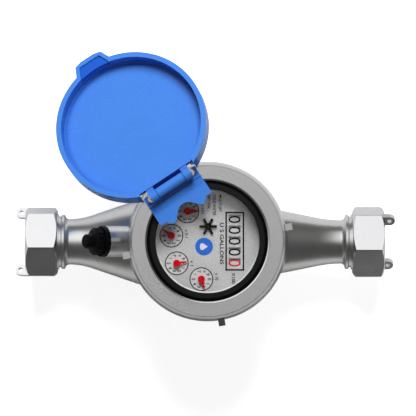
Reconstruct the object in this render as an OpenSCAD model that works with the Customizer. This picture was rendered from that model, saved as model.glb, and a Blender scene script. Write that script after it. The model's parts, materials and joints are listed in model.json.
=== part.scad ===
// Multi-jet water meter with a stainless body, union nuts and a hinged lid, in millimetres.
// The origin is the middle of the base, with the dial facing +Z and the inlet towards -X.

/* [Body] */
// Height of the pipe axis above the base
pipe_z = 34; // [32:0.5:38]
// Radius of the flat base
base_r = 28; // [24:0.5:30]
// Height over which the bowl rounds out from the base
bowl_h = 34; // [30:1:40]
// Step from the neck's thread out to the bowl
bowl_step = 2; // [1:0.25:4]
// Thickness of the floor of the bowl
floor_t = 6; // [4:0.5:8]
// Diameter of the water space round the measuring chamber
cavity_d = 74; // [72:0.5:76]
// Height of the lower water space, from the floor to the shelf
lower_h = 30; // [28:0.5:34]
// Thickness of the shelf that carries the measuring chamber
shelf_t = 3; // [2:0.25:4]
// Height of the upper water space, from the shelf to the ledge
upper_h = 13; // [12:0.5:16]
// Wall of the threaded neck
neck_wall = 2.7; // [2:0.1:4]
// Height of the threaded neck
neck_h = 18; // [12:0.5:20]

/* [Pipe arms] */
// Distance from the dial's axis to the inlet's end face
inlet_reach = 96.5; // [94:0.5:106]
// Distance from the dial's axis to the outlet's end face
outlet_reach = 93.5; // [92:0.5:106]
// Distance from the dial's axis to the cones' roots inside the bowl
root_x = 20; // [16:0.5:24]
// Radius of the inlet cone at its root
inlet_root_r = 33; // [28:0.5:33.5]
// Radius of the outlet cone at its root
outlet_root_r = 24; // [20:0.5:30]
// Radius of the inlet cone at its spigot
inlet_tip_r = 13.7; // [13:0.1:14]
// Radius of the outlet cone at its spigot
outlet_tip_r = 13.2; // [13:0.1:14]
// Outer diameter of the spigots' pipe thread
spigot_d = 33.2; // [32:0.1:36]
// Length of each threaded spigot
spigot_l = 6.8; // [6.6:0.1:10]
// Width of the runout groove behind each spigot
groove_w = 1.4; // [0.8:0.1:2]
// Depth of the runout groove below the thread
groove_depth = 1.2; // [0.5:0.1:2]
// Width of the collar between the cone and the groove
collar_w = 2.4; // [1.5:0.1:4]
// Diameter of the collar
collar_d = 32.8; // [31:0.1:34]
// Rounding between the collar and the cone
flare_r = 2.5; // [1:0.1:2.5]
// Half length over which the cone eases into the collar's foot
blend_l = 7; // [3:0.5:9]
// Chamfer on the end of each spigot
spigot_chamfer = 1; // [0.5:0.1:2]
// Length of each port's straight run behind the collar
port_run = 12; // [8:0.5:14]
// Length of the inlet strainer
strainer_l = 20.5; // [16:0.5:22]
// Diameter of the water way in each spigot
port_d = 20; // [16:0.5:22]
// Diameter of the sloping way to the lower water space
inlet_way_d = 17; // [12:0.5:18]
// Diameter of the sloping way to the upper water space
outlet_way_d = 12.4; // [10:0.2:13]

/* [Union nuts] */
// Width across the flats of each nut
nut_af = 38.4; // [38:0.1:44]
// Length of each nut
nut_l = 19.2; // [16:0.2:24]
// Length of thread on which each nut stands
nut_grip = 6; // [4:0.1:6.4]
// Thickness of the lip that holds a tailpiece
nut_lip_t = 3.5; // [2:0.25:5]
// Diameter of the hole in the lip
nut_hole_d = 27; // [24:0.5:28]
// Depth of the chamfer on the nut's corners
nut_chamfer = 1.9; // [0.5:0.1:2.5]
// Depth by which the nut's six corners are rounded
nut_corner = 0.2; // [0.1:0.1:1]
// Width of the flat rim that the chamfer takes from each end face
nut_rim = 0.6; // [0.2:0.1:1.5]
// Angle of the seal ears on the inlet nut
inlet_nut_turn = -20; // [-60:1:60]
// Angle of the seal ears on the outlet nut
outlet_nut_turn = 44; // [-60:1:60]
// Distance of the seal ears' eyes from the nut's axis
ear_r = 18.4; // [17:0.1:19]
// Outer radius of a seal ear
ear_round = 3.3; // [2.5:0.1:4]
// Thickness of a seal ear
ear_t = 3; // [2:0.1:4]
// Radius of the eye in a seal ear
ear_eye_r = 1.4; // [0.8:0.1:1.8]
// Distance of the eye beyond the nut's end face
ear_out = 2.8; // [2:0.1:4]
// Thickness of the sealing washers
washer_t = 2; // [1:0.25:3]

/* [Regulator boss] */
// Slope of the boss above the horizontal
boss_tilt = 27; // [20:1:35]
// Distance from the dial's axis to the boss's end face
boss_reach = 61.5; // [58:0.5:66]
// Height of the middle of the boss's end face
boss_z = 65; // [62:0.5:67]
// Diameter of the boss
boss_d = 18.6; // [16:0.2:19]
// Diameter of the threaded mouth for the cap
boss_mouth_d = 13; // [11:0.25:14]
// Depth of the threaded mouth
boss_mouth_l = 6; // [4:0.5:8]
// Diameter of the regulating screw
screw_d = 8; // [6:0.25:9]
// Length of the regulating screw
screw_l = 10; // [6:0.5:12]
// Length of the cap beyond the boss
cap_l = 13.5; // [12.5:0.5:16]
// Thickness of the cap's flange on the boss
cap_flange_t = 2.4; // [1.5:0.1:3.5]
// Step from the flange in to the cap's grip
cap_step = 1.4; // [0.8:0.1:2.5]
// Height of the grip's end above the boss
cap_grip_z = 7.2; // [5:0.1:7.4]
// Length of the cap's nose
cap_nose_l = 4.4; // [3:0.1:4.6]
// Radius of the cap's nose
cap_nose_r = 4.5; // [3:0.1:5.5]
// Length of the boss from its end face into the bowl
boss_l = 28; // [25:0.5:29]

/* [Head ring] */
// Wall of the ring's threaded skirt
ring_wall = 4.4; // [3:0.1:6]
// Height of the ring
ring_h = 22; // [18:0.5:24]
// Thickness of the ring's top lip
lip_t = 4; // [3:0.25:5]
// Width of the bevel round the ring's top edge
ring_bevel = 1.2; // [0.8:0.1:3]
// Height of the bevel round the ring's top edge
ring_bevel_h = 2.6; // [1:0.1:4]
// Draft by which the ring's wall widens to its foot
ring_draft = 1.6; // [0:0.1:2]
// Easing of the ring's sharp edges
ring_ease = 0.3; // [0.1:0.1:0.8]
// Inner diameter of the ring's top lip
lip_d = 71.6; // [68:0.2:73]
// Angle of the first spanner lug
lug_turn = 10; // [0:1:30]
// Number of spanner lugs
lug_count = 4; // [2:1:6]
// Width of a spanner lug
lug_w = 4; // [3:0.25:6]
// Distance that a lug stands out of the ring
lug_out = 5; // [3:0.25:7]
// Height of a spanner lug
lug_h = 6; // [4:0.25:8]
// Height of the lugs' underside above the ring's lower edge
lug_lift = 5; // [2:0.25:8]

/* [Measuring chamber] */
// Outer diameter of the chamber
chamber_d = 60; // [58:0.5:61]
// Wall of the chamber
chamber_wall = 4; // [3:0.25:5]
// Height of the chamber's underside above the bowl's floor
chamber_lift = 6; // [5.5:0.25:8]
// Thickness of the chamber's floor
chamber_floor = 2; // [1.5:0.25:3]
// Thickness of the flange on the shelf
flange_t = 2; // [1.5:0.25:3]
// Width of the flange round the chamber
flange_w = 4.5; // [3:0.25:5]
// Thickness of the chamber cover's top
cover_t = 2.2; // [1.5:0.1:3]
// Number of jets in each row
jet_count = 8; // [6:1:12]
// Width of a jet
jet_w = 5; // [3:0.25:6]
// Height of an inlet jet
jet_h = 9; // [6:0.5:10]
// Height of an outlet jet
outlet_jet_h = 5; // [3:0.25:6]

/* [Impeller] */
// Number of vanes
vane_count = 7; // [5:1:10]
// Thickness of a vane
vane_t = 1.4; // [1:0.1:2]
// Gap between the vanes' tips and the chamber's wall
vane_gap = 2.5; // [1.5:0.25:4]
// Diameter of the hub
hub_d = 8; // [7:0.25:10]
// Diameter of the upper journal
journal_d = 3; // [2:0.1:4]
// Diameter of the pivot pin
pivot_d = 2; // [1.5:0.1:3]
// Diameter of the magnets
magnet_d = 14; // [10:0.5:16]
// Thickness of the magnets
magnet_t = 4; // [3:0.25:5]

/* [Register] */
// Outer diameter of the register's case
register_d = 77; // [76.5:0.1:80]
// Wall of the case
case_wall = 2; // [1.5:0.1:2.5]
// Thickness of the case's floor
case_floor = 2; // [1.5:0.25:3]
// Thickness of the pressure plate
plate_t = 4; // [3:0.25:6]
// Thickness of the pressure plate's gasket
plate_gasket_t = 1; // [0.5:0.1:2]
// Height of the movement block
movement_h = 22.5; // [22:0.25:26]
// Thickness of the dial plate
dial_t = 0.8; // [0.5:0.1:1.5]
// Room for the hands between the dial and the glass
hand_room = 4.5; // [4:0.1:6]
// Thickness of the glass
glass_t = 4; // [3:0.25:6]
// Inner diameter of the black bezel gasket
bezel_d = 61.4; // [58:0.2:64]
// Thickness of the bezel gasket under the ring's lip
bezel_t = 0.9; // [0.5:0.1:2]
// Depth of the bezel gasket's top below the ring's top
bezel_drop = 1.2; // [0.5:0.1:2]

/* [Counter] */
// Distance of the number wheels' axis from the dial's axis
counter_x = 16.1; // [15:0.1:17]
// Radius of a number wheel
wheel_r = 10.4; // [8:0.1:10.6]
// Width of a number wheel
wheel_w = 6; // [4:0.1:6.2]
// Distance between neighbouring number wheels
wheel_pitch = 6.46; // [6.3:0.02:6.6]
// Number of number wheels
wheel_count = 5; // [5:1:5]
// Gap between the wheels' tops and the dial plate
wheel_gap = 0.3; // [0.2:0.05:1]
// Diameter of the counter's axle
axle_d = 2.4; // [2:0.1:3]
// Width of a window in the dial
window_w = 7; // [5:0.1:7.2]
// Length of a window along the counter
window_l = 5.6; // [4:0.1:6]

/* [Hands] */
// Diameter of the hands' spindles
spindle_d = 1.6; // [1:0.1:2]
// Radius of a hand's round boss
hand_boss_r = 2.1; // [1.5:0.1:2.4]
// Length of a hand from its spindle to its tip
hand_l = 6.6; // [5:0.1:6.8]
// Thickness of a hand
hand_t = 0.6; // [0.4:0.1:1]
// Height of the hands above the dial
hand_lift = 1.6; // [1:0.1:2.4]
// Radius of the flow star at the tips of its arms
star_r = 5.2; // [4:0.1:6]
// Width of the flow star's arms
star_arm_w = 1.5; // [0.8:0.1:1.6]
// Height of the flow star above the dial
star_lift = 0.9; // [0.5:0.1:1.5]

/* [Lid and hinge] */
// Direction of the hinge, seen from above
hinge_turn = 123.4; // [110:0.1:135]
// Distance of the hinge axis from the dial's axis
hinge_reach = 39.3; // [39:0.1:40.5]
// Height of the hinge axis above the ring
hinge_lift = 8.2; // [8:0.1:9]
// Angle at which the lid stands open
lid_angle = 198; // [90:1:198]
// Outer diameter of the lid
lid_d = 90; // [88:0.5:92]
// Wall of the lid
lid_wall = 3; // [2:0.1:4]
// Height of the lid
lid_h = 13.2; // [12.5:0.1:13.4]
// Thickness of the lid's top
lid_top_t = 3.5; // [2.5:0.1:3.6]
// Distance of the lid's centre from the hinge axis
lid_offset = 42.6; // [42:0.1:44]
// Distance of the lid's cut edge from the hinge axis
lid_cut = 6.5; // [6.4:0.1:7.5]
// Radius of the rounded edge of the lid's top
lid_round = 2; // [1:0.1:2.5]
// Half width of the thumb tab at its outer end
tab_half = 8.8; // [6:0.2:10]
// Distance that the thumb tab stands out of the lid
tab_out = 5.4; // [3:0.2:7]
// Height of the thumb tab
tab_h = 8; // [6:0.25:9]
// Depth of the recess in the thumb tab
tab_recess = 5; // [1:0.1:5.5]
// Width of the hinge plate
hinge_w = 36; // [34:0.25:36.5]
// Thickness of the hinge plate
hinge_t = 2; // [1.5:0.1:2.3]
// Step up of the plate's tongue over the bezel
tongue_step = 0.8; // [0.3:0.1:1.2]
// Distance of the plate's outer edge beyond the hinge axis
hinge_back = 2; // [1:0.1:2.5]
// Radius of the hinge barrel
barrel_r = 3.1; // [2.6:0.1:3.3]
// Length of the hinge barrel
barrel_l = 18.4; // [14:0.2:19]
// Distance of the hinge plate's front edge from the pin
plate_reach = 16.7; // [14:0.1:18]
// Distance of each lobe from the plate's middle
lobe_side = 10.2; // [9:0.1:12]
// Radius of the plate's lobes
lobe_r = 2.9; // [2:0.1:3.5]
// Radius of the arch between the lobes
arch_r = 6.5; // [4:0.1:7]
// Distance of the arch's middle beyond the plate's front edge
arch_drop = 2.7; // [1:0.1:4]
// Distance from the pin to the lid's web between its knuckles
web_reach = 4.7; // [4.6:0.1:5.5]
// Thickness of the lid's web between its knuckles
web_t = 1.2; // [0.8:0.1:1.4]
// Length of each lid knuckle
knuckle_l = 4.5; // [3:0.1:5]
// Radius of the lid knuckles
knuckle_r = 3.5; // [3:0.1:3.7]
// Diameter of the hinge pin
pin_d = 2.5; // [2:0.1:3]
// Radius of the rivet heads on the hinge plate
rivet_head_r = 2.5; // [2:0.1:3]
// Height of the rivet heads
rivet_head_t = 0.9; // [0.5:0.1:1]
// Radius of the rivets' shanks
rivet_r = 1.4; // [1:0.1:1.8]
// Length of the rivets' shanks in the ring
rivet_l = 3; // [2:0.1:3.2]
// Distance of each rivet from the middle of the plate
rivet_side = 13.9; // [12:0.1:15]

/* [Clearances] */
// Radial clearance between screwed threads
thread_gap = 0.1; // [0.05:0.01:0.3]
// Radial clearance of shafts in their bores
fit_gap = 0.04; // [0.02:0.01:0.1]
// Gap between pieces that stay apart
part_gap = 0.3; // [0.2:0.05:0.5]

/* [Hidden] */
$fn = 96;
eps = 0.01;

// Levels from the base up
shelf_z = floor_t + lower_h;
shelf_top = shelf_z + shelf_t;
ledge_z = shelf_top + upper_h;
plate_z = ledge_z + plate_gasket_t;
case_z = plate_z + plate_t;
block_z = case_z + case_floor;
dial_z = block_z + movement_h;
face_z = dial_z + dial_t;
glass_z = face_z + hand_room;
bezel_z = glass_z + glass_t;
lip_z = bezel_z + bezel_t + part_gap;
ring_top = lip_z + lip_t;
ring_z = ring_top - ring_h;
neck_top = lip_z - 2;
neck_z = neck_top - neck_h;

// Radii from the dial's axis out
register_r = register_d / 2;
bore_r = register_r + part_gap;
neck_r = bore_r + neck_wall;
bowl_r = neck_r + bowl_step;
skirt_r = neck_r + thread_gap;
ring_r = skirt_r + ring_wall;
cavity_r = cavity_d / 2;
chamber_r = chamber_d / 2;
shelf_r = chamber_r + 2 * part_gap;
chamber_in = chamber_r - chamber_wall;
case_in = register_r - case_wall;
block_r = case_in - part_gap;
bezel_r = bezel_d / 2;

// Chamber and impeller levels
chamber_z = floor_t + chamber_lift;
chamber_room = chamber_z + chamber_floor;
cover_z = shelf_top + flange_t;
cover_top = plate_z - part_gap;
hub_z = chamber_room + 1;
vane_top = shelf_z - 1;
magnet_z = vane_top + 2;
pivot_tip = hub_z + 3.5;

// Counter and hinge places
counter_z = dial_z - wheel_gap - wheel_r;
wheel_places = [for (i = [0 : wheel_count - 1]) ((wheel_count - 1) / 2 - i) * wheel_pitch];
counter_half = wheel_places[0] + wheel_w / 2 + part_gap;
hinge_z = ring_top + hinge_lift;
pin_half = barrel_l / 2 + part_gap + knuckle_l + 0.3;
spigot_r = spigot_d / 2;
collar_ease = 0.5;
nut_r = nut_af / 2 / cos(30);

// Places and angles of the hands: hundredths, tenths, units, tens
hand_spots = [[-11.9, 17.7], [-21.4, 3.3], [-18.2, -13.1], [-3.6, -22.5]];
hand_turns = [4, 144, 10, -72];
star_spot = [0.4, 8.7];

steel = [0.66, 0.66, 0.65];
satin = [0.62, 0.63, 0.62];
blue = [0.13, 0.38, 0.86];
black = [0.06, 0.06, 0.07];
red = [0.85, 0.05, 0.08];

// Turns +Z to point along +X
module along_x() {
    rotate([0, 90, 0]) children();
}

// Places its children on the sloping regulator boss, with +Z pointing out of its end face
module on_boss() {
    translate([-boss_reach, 0, boss_z]) rotate([0, boss_tilt - 90, 0]) children();
}

// Places its children at the hinge: +Y points out from the dial, and Z is zero on the ring's top
module at_hinge() {
    translate([0, 0, ring_top]) rotate([0, 0, hinge_turn - 90]) children();
}

// A ring or tube standing on the plane z = 0
module tube(outer, inner, h) {
    difference() {
        cylinder(r = outer, h = h);
        translate([0, 0, -1]) cylinder(r = inner, h = h + 2);
    }
}

// Outer skin of the bowl and neck, turned about the dial's axis
module bowl_skin() {
    curve = [for (a = [0 : 10 : 90]) [base_r + (bowl_r - base_r) * sin(a), bowl_h * (1 - cos(a))]];
    rotate_extrude() polygon(concat([[0, 0]], curve,
        [[bowl_r, neck_z - bowl_step], [neck_r, neck_z], [neck_r, neck_top - 1],
         [neck_r - 1, neck_top], [0, neck_top]]));
}

// Water spaces of the bowl, with the shelf between them
module bowl_hollow() {
    foot_r = base_r - 6;
    rise = lower_h - 2;
    curve = [for (a = [0 : 15 : 90]) [foot_r + (cavity_r - foot_r) * sin(a), floor_t + rise * (1 - cos(a))]];
    rotate_extrude() polygon(concat([[0, floor_t]], curve,
        [[cavity_r, shelf_z], [shelf_r, shelf_z], [shelf_r, shelf_top], [cavity_r, shelf_top],
         [cavity_r, ledge_z], [bore_r, ledge_z], [bore_r, neck_top + 1], [0, neck_top + 1]]));
}

// One pipe arm along +X: a cone flaring to a collar, a runout groove and a threaded spigot
module arm(root_r, tip_r, reach) {
    thread_x = reach - spigot_l;
    groove_x = thread_x - groove_w;
    collar_x = groove_x - collar_w;
    groove_r = spigot_r - groove_depth;
    meet_x = collar_x - flare_r - blend_l;
    drop = (root_r - tip_r) / (meet_x - root_x) * blend_l;
    blend = [for (t = [0 : 0.1 : 0.91]) [tip_r + drop * (1 - t) * (1 - t), meet_x + blend_l * (2 * t - 1)]];
    flare = [for (a = [0 : 15 : 90]) [tip_r + flare_r * (1 - cos(a)), collar_x - flare_r + flare_r * sin(a)]];
    along_x() rotate_extrude() polygon(concat([[0, root_x], [root_r, root_x]], blend, flare,
        [[collar_d / 2 - collar_ease, collar_x], [collar_d / 2, collar_x + collar_ease],
         [collar_d / 2, groove_x - collar_ease], [collar_d / 2 - collar_ease, groove_x],
         [groove_r, groove_x], [groove_r, thread_x], [spigot_r, thread_x],
         [spigot_r, reach - spigot_chamfer], [spigot_r - spigot_chamfer, reach], [0, reach]]));
}

// Water way along +X: straight in the spigot, then sloping to the given height at the bowl
module water_way(reach, way_d, end_z) {
    bend_x = reach - spigot_l - groove_w - collar_w - port_run;
    run = bend_x - cavity_r + 4;
    fall = pipe_z - end_z;
    translate([bend_x, 0, pipe_z]) along_x() cylinder(d = port_d, h = reach - bend_x + 1);
    translate([bend_x + 3, 0, pipe_z]) rotate([0, -90 - atan(fall / run), 0])
        cylinder(d = way_d, h = norm([run, fall]) + 3);
}

module body() {
    color(steel) difference() {
        union() {
            bowl_skin();
            translate([0, 0, pipe_z]) arm(outlet_root_r, outlet_tip_r, outlet_reach);
            translate([0, 0, pipe_z]) rotate([0, 0, 180]) arm(inlet_root_r, inlet_tip_r, inlet_reach);
            on_boss() translate([0, 0, -boss_l]) cylinder(d = boss_d, h = boss_l);
        }
        bowl_hollow();
        water_way(outlet_reach, outlet_way_d, shelf_top + upper_h / 2);
        rotate([0, 0, 180]) water_way(inlet_reach, inlet_way_d, shelf_z - inlet_way_d / 2 - 4);
        on_boss() translate([0, 0, -boss_mouth_l]) cylinder(d = boss_mouth_d, h = boss_mouth_l + 1);
        on_boss() translate([0, 0, -boss_mouth_l - screw_l - 2])
            cylinder(d = screw_d + 2 * thread_gap, h = screw_l + 3);
    }
}

module inlet_strainer() {
    outer = port_d / 2 - part_gap;
    color([0.75, 0.76, 0.78]) translate([-inlet_reach + 1, 0, pipe_z]) along_x() difference() {
        tube(outer, outer - 1, strainer_l);
        for (i = [0 : 7]) rotate([0, 0, 45 * i]) translate([outer, 0, strainer_l / 2 + 1])
            cube([6, 3, strainer_l - 6], center = true);
    }
}

module measuring_chamber() {
    jet_z = chamber_room + 3;
    color([0.88, 0.87, 0.82]) difference() {
        union() {
            translate([0, 0, chamber_z]) cylinder(r = chamber_r, h = cover_z - chamber_z);
            translate([0, 0, shelf_top]) cylinder(r = chamber_r + flange_w, h = flange_t);
        }
        translate([0, 0, chamber_room]) cylinder(r = chamber_in, h = cover_z - chamber_room + 1);
        for (i = [0 : jet_count - 1]) rotate([0, 0, 360 / jet_count * i])
            translate([chamber_r - chamber_wall - 1, 0, jet_z]) rotate([0, 0, 35])
                translate([0, -jet_w / 2, 0]) cube([chamber_wall + 8, jet_w, jet_h]);
        translate([0, 0, chamber_z - 1]) cylinder(d = pivot_d + 2 * fit_gap, h = chamber_floor + 2);
    }
}

module chamber_cover() {
    wall_h = cover_top - cover_z;
    color([0.88, 0.87, 0.82]) translate([0, 0, cover_z]) difference() {
        cylinder(r = chamber_r, h = wall_h);
        translate([0, 0, -1]) cylinder(r = chamber_in, h = wall_h - cover_t + 1);
        for (i = [0 : jet_count - 1]) rotate([0, 0, 360 / jet_count * (i + 0.5)])
            translate([chamber_r - chamber_wall - 1, 0, 1.5]) rotate([0, 0, -35])
                translate([0, -jet_w / 2, 0]) cube([chamber_wall + 8, jet_w, outlet_jet_h]);
        cylinder(d = journal_d + 2 * fit_gap, h = wall_h + 1);
    }
}

module pivot_pin() {
    color([0.7, 0.7, 0.72]) translate([0, 0, chamber_z]) cylinder(d = pivot_d, h = pivot_tip - chamber_z);
}

module impeller() {
    vane_l = chamber_in - vane_gap;
    color([0.92, 0.92, 0.9]) difference() {
        union() {
            translate([0, 0, hub_z]) cylinder(d = hub_d, h = vane_top - hub_z);
            translate([0, 0, vane_top - eps]) cylinder(d = magnet_d + 4, h = magnet_z - vane_top + eps);
            translate([0, 0, magnet_z - eps]) cylinder(d = journal_d, h = cover_top - magnet_z);
            for (i = [0 : vane_count - 1]) rotate([0, 0, 360 / vane_count * i])
                translate([0, -vane_t / 2, hub_z + 2]) cube([vane_l, vane_t, vane_top - hub_z - 2]);
        }
        translate([0, 0, hub_z - 1]) cylinder(d = pivot_d + 2 * fit_gap, h = pivot_tip - hub_z + 1 + part_gap);
    }
}

module drive_magnet() {
    color([0.2, 0.2, 0.22]) translate([0, 0, magnet_z])
        tube(magnet_d / 2, journal_d / 2 + fit_gap, magnet_t);
}

module plate_gasket() {
    color(black) translate([0, 0, ledge_z]) tube(register_r, cavity_r + part_gap, plate_gasket_t);
}

module pressure_plate() {
    color([0.8, 0.8, 0.78]) translate([0, 0, plate_z]) difference() {
        cylinder(r = register_r, h = plate_t);
        translate([0, 0, plate_t - 1.5]) cylinder(d = magnet_d + 4, h = 2);
    }
}

module register_case() {
    color([0.72, 0.46, 0.25]) translate([0, 0, case_z]) difference() {
        cylinder(r = register_r, h = glass_z - case_z);
        translate([0, 0, case_floor]) cylinder(r = case_in, h = glass_z - case_z);
    }
}

// Bore for a spindle from the movement block's top down
module spindle_bore(spot, depth) {
    translate([spot[0], spot[1], dial_z - depth]) cylinder(d = spindle_d + 2 * fit_gap, h = depth + 1);
}

module movement_block() {
    color([0.85, 0.85, 0.83]) difference() {
        translate([0, 0, block_z]) cylinder(r = block_r, h = movement_h);
        translate([counter_x - wheel_r - 0.6, -counter_half, counter_z - wheel_r - 0.6])
            cube([2 * wheel_r + 1.2, 2 * counter_half, wheel_r * 2 + 4]);
        translate([counter_x, -counter_half - 3, counter_z]) rotate([-90, 0, 0])
            cylinder(d = axle_d + 2 * fit_gap, h = 2 * counter_half + 6);
        translate([0, 0, block_z - 1]) cylinder(d = magnet_d + 2, h = magnet_t + 1 + 2 * part_gap);
        translate([0, 0, block_z]) cylinder(d = spindle_d + 2 * fit_gap, h = magnet_t + 9);
        for (spot = hand_spots) spindle_bore(spot, 6);
        spindle_bore(star_spot, 6);
    }
}

module counter_axle() {
    length = 2 * counter_half + 5.4;
    color([0.7, 0.7, 0.72]) translate([counter_x, -length / 2, counter_z]) rotate([-90, 0, 0])
        cylinder(d = axle_d, h = length);
}

module number_wheel(i) {
    color(i == wheel_count - 1 ? [0.95, 0.93, 0.93] : [0.94, 0.94, 0.92])
        translate([counter_x, wheel_places[i] - wheel_w / 2, counter_z]) rotate([-90, 0, 0])
            tube(wheel_r, axle_d / 2 + fit_gap, wheel_w);
}

module dial_plate() {
    color([0.74, 0.74, 0.75]) difference() {
        translate([0, 0, dial_z]) cylinder(r = block_r, h = dial_t);
        for (y = wheel_places) translate([counter_x - window_w / 2, y - window_l / 2, dial_z - 1])
            cube([window_w, window_l, dial_t + 2]);
        for (spot = hand_spots) spindle_bore(spot, 1);
        spindle_bore(star_spot, 1);
    }
}

module follower_magnet() {
    color([0.2, 0.2, 0.22]) translate([0, 0, block_z + part_gap])
        tube(magnet_d / 2, spindle_d / 2 + fit_gap, magnet_t);
}

module follower_spindle() {
    color([0.7, 0.7, 0.72]) translate([0, 0, block_z + part_gap]) cylinder(d = spindle_d, h = magnet_t + 8);
}

// A hand on its spindle, pointing along +X, with a tip narrowing from the given half width
module hand(half) {
    rise = face_z + hand_lift;
    translate([0, 0, dial_z - 5.5]) cylinder(d = spindle_d, h = rise + hand_t - dial_z + 5.5);
    translate([0, 0, rise]) cylinder(r = hand_boss_r, h = hand_t * 2);
    translate([0, 0, rise]) linear_extrude(hand_t)
        polygon([[0, -half], [0, half], [hand_l, 0.15], [hand_l, -0.15]]);
}

module placed_hand(i) {
    color(red) translate([hand_spots[i][0], hand_spots[i][1], 0]) rotate([0, 0, hand_turns[i]])
        hand(i == 0 ? hand_boss_r : hand_boss_r * 0.5);
}

module flow_star() {
    rise = face_z + star_lift;
    color(black) translate([star_spot[0], star_spot[1], 0]) {
        translate([0, 0, dial_z - 5.5]) cylinder(d = spindle_d, h = rise - dial_z + 5.6);
        translate([0, 0, rise]) cylinder(r = hand_boss_r, h = 0.8);
        for (i = [0 : 5]) rotate([0, 0, 60 * i]) translate([0, -star_arm_w / 2, rise])
            cube([star_r, star_arm_w, 0.8]);
    }
}

module glass() {
    color([0.85, 0.92, 0.95, 0.25]) translate([0, 0, glass_z]) cylinder(r = register_r - 0.2, h = glass_t);
}

module bezel_gasket() {
    top = ring_top - bezel_drop;
    collar_r = lip_d / 2 - part_gap / 2;
    crown = [for (a = [0 : 15 : 180]) [(collar_r + bezel_r) / 2 + (collar_r - bezel_r) / 2 * cos(a),
                                       top - 1.4 + 1.4 * sin(a)]];
    color(black) rotate_extrude() polygon(concat(
        [[bezel_r, bezel_z], [register_r - 0.2, bezel_z], [register_r - 0.2, bezel_z + bezel_t],
         [collar_r, bezel_z + bezel_t]], crown));
}

module head_ring() {
    foot_r = ring_r + ring_draft;
    color(satin) difference() {
        union() {
            rotate_extrude() polygon([
                [skirt_r, ring_z], [foot_r - 2 * ring_ease, ring_z], [foot_r, ring_z + 2 * ring_ease],
                [ring_r, ring_top - ring_bevel_h], [ring_r - ring_bevel, ring_top - ring_ease],
                [ring_r - ring_bevel - ring_ease, ring_top], [lip_d / 2 + ring_ease, ring_top],
                [lip_d / 2, ring_top - ring_ease], [lip_d / 2, lip_z], [skirt_r, lip_z]]);
            for (i = [0 : lug_count - 1]) rotate([0, 0, lug_turn + 360 / lug_count * i])
                translate([ring_r - 1.5, -lug_w / 2, ring_z + lug_lift]) cube([lug_out + 1.5, lug_w, lug_h]);
        }
        at_hinge() for (side = [-1, 1]) translate([side * rivet_side, hinge_reach - 0.4, -rivet_l - 0.2])
            cylinder(r = rivet_r + fit_gap, h = rivet_l + 1);
    }
}

// Outline of the hinge plate: a straight back, two lobes over the dial and an arch between them
module plate_outline() {
    half = hinge_w / 2;
    edge = hinge_reach - plate_reach;
    difference() {
        union() {
            translate([-half, edge]) square([hinge_w, plate_reach + hinge_back]);
            for (side = [-1, 1]) {
                translate([side * lobe_side, edge]) circle(r = lobe_r);
                polygon([[side * 3.5, edge + 3], [side * 7.8, edge - 1.6], [side * 12.6, edge - 1.6],
                         [side * 14, edge + 0.1], [side * 13, edge + 3]]);
            }
        }
        translate([0, edge - arch_drop]) circle(r = arch_r);
    }
}

module hinge_plate() {
    color(blue) at_hinge() difference() {
        union() {
            linear_extrude(hinge_t) plate_outline();
            linear_extrude(hinge_t + tongue_step) intersection() {
                plate_outline();
                translate([-hinge_w, -hinge_reach]) square([2 * hinge_w, 2 * hinge_reach - 4.1]);
            }
            translate([-barrel_l / 2, hinge_reach - barrel_r, hinge_t - eps])
                cube([barrel_l, 2 * barrel_r, hinge_lift - hinge_t]);
            translate([-barrel_l / 2, hinge_reach, hinge_lift]) along_x() cylinder(r = barrel_r, h = barrel_l);
        }
        translate([-hinge_w, hinge_reach, hinge_lift]) along_x() cylinder(d = pin_d + 2 * fit_gap, h = 2 * hinge_w);
        for (side = [-1, 1]) translate([side * rivet_side, hinge_reach - 0.4, -1])
            cylinder(r = rivet_r + fit_gap, h = hinge_t + 2);
    }
}

module hinge_pin() {
    color([0.75, 0.75, 0.77]) at_hinge() translate([-pin_half, hinge_reach, hinge_lift])
        along_x() cylinder(d = pin_d, h = 2 * pin_half);
}

module hinge_rivets() {
    color([0.82, 0.82, 0.8]) at_hinge() for (side = [-1, 1])
        translate([side * rivet_side, hinge_reach - 0.4, 0]) {
            translate([0, 0, -rivet_l]) cylinder(r = rivet_r, h = rivet_l + hinge_t + eps);
            translate([0, 0, hinge_t]) cylinder(r1 = rivet_head_r, r2 = rivet_head_r - 0.3, h = rivet_head_t);
        }
}

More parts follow.
